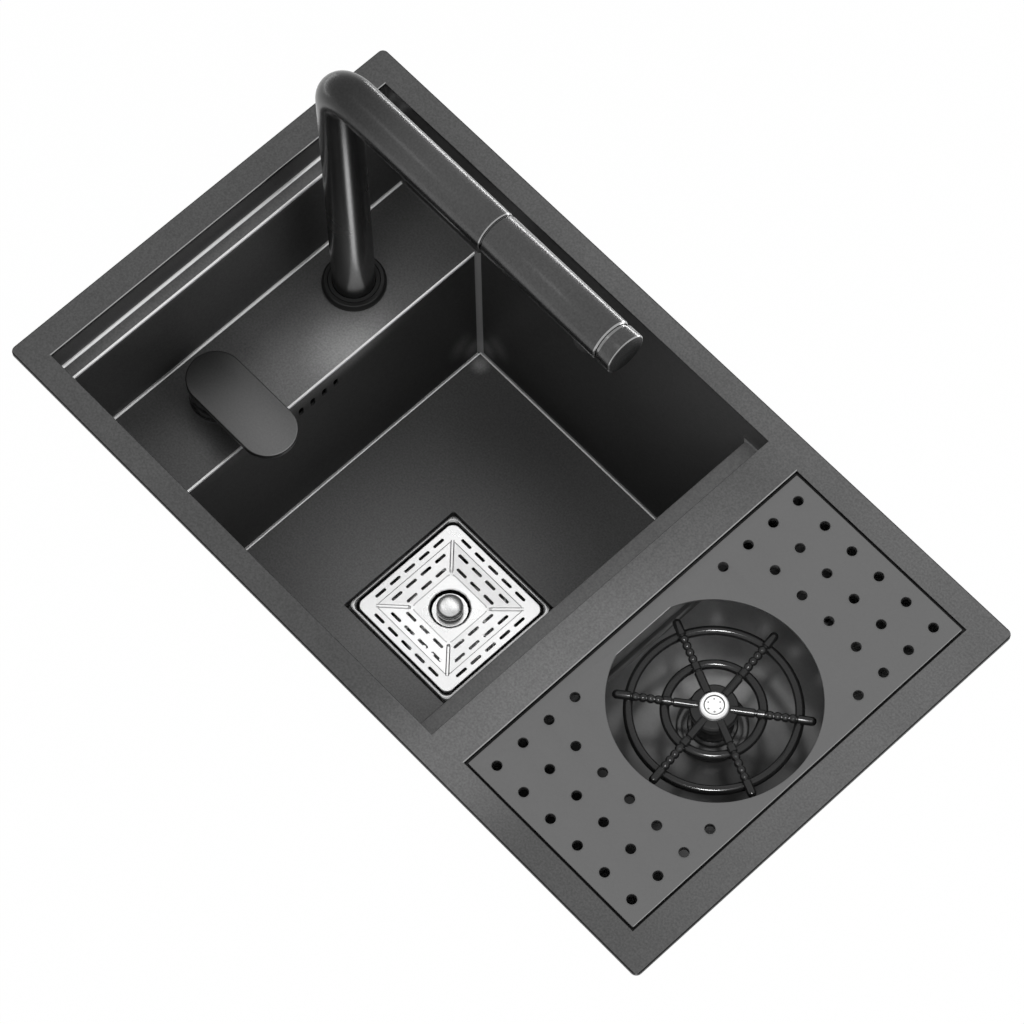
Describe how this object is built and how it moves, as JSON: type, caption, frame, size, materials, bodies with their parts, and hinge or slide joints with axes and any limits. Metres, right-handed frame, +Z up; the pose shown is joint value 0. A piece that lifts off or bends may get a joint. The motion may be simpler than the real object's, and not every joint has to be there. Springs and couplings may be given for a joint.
{
  "type": "kitchen sink with glass rinser",
  "caption": "Compact drop-in sink with a deep stepped bowl, lowering pull-out tap, lever mixer, square drain cover, and a glass rinser under a perforated drip tray.",
  "frame": {"origin": "middle of the rim, on the plane of the worktop that the rim's underside lies on", "axes": "+X from the tap end to the rinser end, +Y from the front to the back, +Z up"},
  "size_m": [0.552, 0.31, 0.4905],
  "materials": {
    "dark_steel": "dark coated steel, satin, fine grain",
    "tap_steel": "dark coated steel, smooth satin",
    "tray_steel": "dark coated steel, satin, fine grain",
    "polished_steel": "polished",
    "brass": "turned",
    "rubber": "matte",
    "dark_plastic": "satin"
  },
  "bodies": {
    "sink": {"rim_plate": "dark_steel", "front_wall": "dark_steel", "back_wall": "dark_steel", "tap_upper_wall": "dark_steel", "tap_ledge": "dark_steel", "tap_lower_wall": "dark_steel", "tap_platform": "dark_steel", "bowl_tap_wall": "dark_steel", "far_upper_wall": "dark_steel", "far_ledge": "dark_steel", "far_lower_wall": "dark_steel", "bowl_floor": "dark_steel", "drain_pan": "dark_steel", "tray_shelf": "dark_steel", "trough_walls": "dark_steel", "trough_floor": "dark_steel", "sound_pads": "rubber", "clip_brackets": "polished_steel", "clip_screws": "polished_steel", "overflow_housing": "dark_plastic", "drain_body": "polished_steel", "drain_base": "polished_steel", "drain_tail": "polished_steel", "drain_gasket": "rubber", "drain_lock_nut": "dark_plastic", "trough_outlet": "tap_steel", "trough_outlet_nut": "dark_plastic", "tap_escutcheon": "tap_steel", "tap_seal": "rubber", "tap_sleeve": "brass", "tap_lock_nut": "brass", "mixer_base": "tap_steel", "mixer_body": "brass", "mixer_lock_nut": "brass", "platform_washers": "rubber", "rinser_body": "tap_steel", "rinser_gasket": "rubber", "rinser_lock_nut": "brass", "rinser_spring": "polished_steel"},
    "lift_carriage": {"lift_collar": "dark_plastic"},
    "spout": {"spout_pipe": "tap_steel", "spray_dock": "dark_plastic"},
    "spray_head": {"spray_shell": "tap_steel", "spray_stem": "dark_plastic", "spray_nozzle": "rubber"},
    "selector": {"spray_selector": "tap_steel"},
    "mixer_core": {"mixer_rotor": "brass"},
    "lever": {"lever_stem": "polished_steel", "lever_hub": "tap_steel", "lever_plate": "tap_steel", "lever_plug": "rubber"},
    "rinser_head": {"rinser_plunger": "polished_steel", "rinser_seal": "rubber", "rinser_arms": "dark_plastic", "rinser_rings": "dark_plastic", "rinser_cap": "polished_steel"},
    "tray": {"drip_tray": "tray_steel"},
    "cover": {"drain_cover": "polished_steel"},
    "strainer": {"drain_knob": "polished_steel", "strainer_basket": "polished_steel"}
  },
  "joints": [
    {"name": "tap_lift", "type": "slide", "parent": "sink", "child": "lift_carriage", "axis": [0, 0, 1], "range_m": [-0.16, 0]},
    {"name": "spout_swivel", "type": "hinge", "parent": "lift_carriage", "child": "spout", "pos_m": [-0.2115, 0.0655, 0], "axis": [0, 0, 1], "range_deg": [0, 270]},
    {"name": "spray_pullout", "type": "slide", "parent": "spout", "child": "spray_head", "axis": [1, 0, 0], "range_m": [0, 0.4]},
    {"name": "spray_selector", "type": "hinge", "parent": "spray_head", "child": "selector", "pos_m": [0.029, 0.0655, 0.145], "axis": [1, 0, 0], "range_deg": [0, 90]},
    {"name": "handle_turn", "type": "hinge", "parent": "sink", "child": "mixer_core", "pos_m": [-0.211, -0.052, -0.1055], "axis": [0, 0, 1], "range_deg": [-45, 45]},
    {"name": "handle_lift", "type": "hinge", "parent": "mixer_core", "child": "lever", "pos_m": [-0.211, -0.052, -0.1055], "axis": [0, -1, 0], "range_deg": [0, 20]},
    {"name": "rinser_press", "type": "slide", "parent": "sink", "child": "rinser_head", "axis": [0, 0, -1], "range_m": [0, 0.008], "stiffness_N_per_m": 1500, "springref_m": -0.005, "deforming": ["rinser_spring"]},
    {"name": "tray_lift", "type": "slide", "parent": "sink", "child": "tray", "axis": [0, 0, 1], "range_m": [0, 0.15]},
    {"name": "cover_lift", "type": "slide", "parent": "sink", "child": "cover", "axis": [0, 0, 1], "range_m": [0, 0.36]},
    {"name": "strainer_pull", "type": "slide", "parent": "cover", "child": "strainer", "axis": [0, 0, 1], "range_m": [0, 0.008]}
  ]
}
